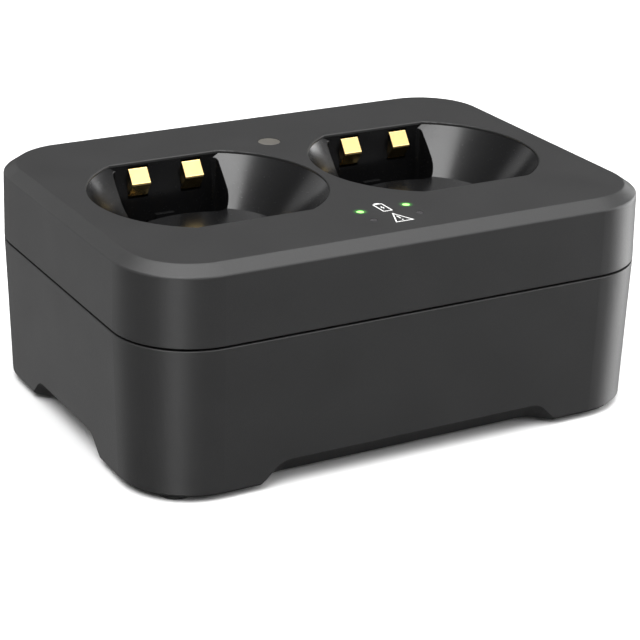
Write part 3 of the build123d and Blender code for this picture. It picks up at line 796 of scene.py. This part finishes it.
@dataclass
class Studio:
    """Pale floor, soft lamps and the camera."""

    dock_length: float = 145.0 * MM
    azimuth: float = -29.309
    elevation: float = 22.123
    distance: float = 3.7683
    slide: tuple[float, float] = (0.008, -0.0342)
    roll: float = -1.351
    look_height: float = 23.05 * MM
    lens: float = 116.22
    sensor: float = 36.0
    clip: tuple[float, float] = (0.02, 20.0)
    floor_size: float = 8.0
    floor_tone: Colour = (0.9, 0.9, 0.9)
    sky_levels: tuple[tuple[float, float], ...] = ((0.44, 0.03), (0.52, 0.1), (0.72, 0.1), (1.0, 0.5))
    overhead_strength: float = 3.3
    overhead_angle: float = 75.0
    panels: tuple[SkyPanel, ...] = (
        SkyPanel(-43.0, -20.0, 120.0, 9.0),
        SkyPanel(-152.0, -24.0, 14.0, 0.75),
        SkyPanel(88.0, -10.0, 16.0, 6.5),
        SkyPanel(27.0, 34.0, 26.0, 3.2),
    )
    lamps: tuple[SoftBox, ...] = (
        SoftBox("key_high_left", -51.0, 50.0, 0.85, (0.52, 0.40), 5.6),
        SoftBox("fill_front_right", 66.0, 18.0, 0.34, (0.16, 0.16), 3.0),
        SoftBox("low_right", 104.0, 8.0, 0.70, (0.40, 0.20), 4.0),
        SoftBox("strip_front_left", -40.0, 6.0, 0.60, (0.04, 0.24), 3.0),
        SoftBox("wash_back_left", -152.0, 14.0, 0.80, (0.70, 0.34), 0.7),
    )

    def build(self) -> None:
        """Make the stage."""
        self.camera()
        self.floor()
        self.sky()
        target = Vector((0.0, 0.0, self.look_height))
        for lamp in self.lamps:
            lamp.build(target)
        sun = bpy.data.lights.new("overhead", "SUN")
        sun.energy = self.overhead_strength
        sun.angle = math.radians(self.overhead_angle)
        holder = bpy.data.objects.new("overhead", sun)
        bpy.context.scene.collection.objects.link(holder)
        bpy.context.scene.view_settings.view_transform = "Standard"

    def sky(self) -> None:
        """Dim surroundings that brighten towards the ceiling, with soft bright panels around the dock."""
        world = bpy.data.worlds.new("soft_sky")
        bpy.context.scene.world = world
        world.use_nodes = True
        graph = NodeGraph(world.node_tree)
        way = graph.node("ShaderNodeTexCoord", output="Generated")
        height = graph.node("ShaderNodeSeparateXYZ", inputs={0: way}, output="Z")
        level = graph.ramp(height * 0.5 + 0.5, self.sky_levels)
        for panel in self.panels:
            facing = graph.node(
                "ShaderNodeVectorMath", {"operation": "DOT_PRODUCT"}, {0: way, 1: panel.way()}, "Value"
            )
            near = graph.node("ShaderNodeClamp", inputs={"Value": facing}) ** panel.sharpness
            level = near * panel.level + level
        grey = graph.node("ShaderNodeCombineColor", inputs={0: level, 1: level, 2: level})
        graph.feed(world.node_tree.nodes["Background"].inputs["Color"], grey)

    def camera(self) -> None:
        """Place the camera in front of the near left corner, a little above."""
        turn = math.radians(self.azimuth)
        back = direction(self.azimuth, self.elevation)
        right = Vector((math.cos(turn), math.sin(turn), 0.0))
        up = back.cross(right)
        tip = math.radians(self.roll)
        level_right, level_up = right, up
        right = level_right * math.cos(tip) - level_up * math.sin(tip)
        up = level_right * math.sin(tip) + level_up * math.cos(tip)
        centre = Vector((0.0, 0.0, self.look_height))
        offset = right * self.slide[0] + up * self.slide[1] + back * self.distance
        lens = bpy.data.cameras.new("camera")
        lens.lens = self.lens
        lens.sensor_width = self.sensor
        lens.clip_start, lens.clip_end = self.clip
        holder = bpy.data.objects.new("camera", lens)
        bpy.context.scene.collection.objects.link(holder)
        rotation = Matrix((right, up, back)).transposed().to_4x4()
        holder.matrix_world = Matrix.Translation(centre + offset * self.dock_length) @ rotation
        bpy.context.scene.camera = holder

    def floor(self) -> None:
        """Lay a pale matt floor under the feet."""
        half = self.floor_size / 2
        mesh = bpy.data.meshes.new("floor")
        corners = [(-half, -half, 0.0), (half, -half, 0.0), (half, half, 0.0), (-half, half, 0.0)]
        mesh.from_pydata(corners, [], [(0, 1, 2, 3)])
        floor = bpy.data.objects.new("floor", mesh)
        bpy.context.scene.collection.objects.link(floor)
        graph = ShaderGraph("floor")
        graph.set(Base_Color=self.floor_tone, Roughness=0.9, Specular_IOR_Level=0.1)
        mesh.materials.append(graph.material)
        floor.visible_glossy = False


def main() -> None:
    """Build the stage, then every sub-assembly."""
    logging.basicConfig(level=logging.INFO, format="%(name)s: %(message)s")
    Studio().build()
    Finishes().build()
    HousingShells().build()
    InletBezel().build()
    MouldMarks().build()


if __name__ == "__main__":
    main()
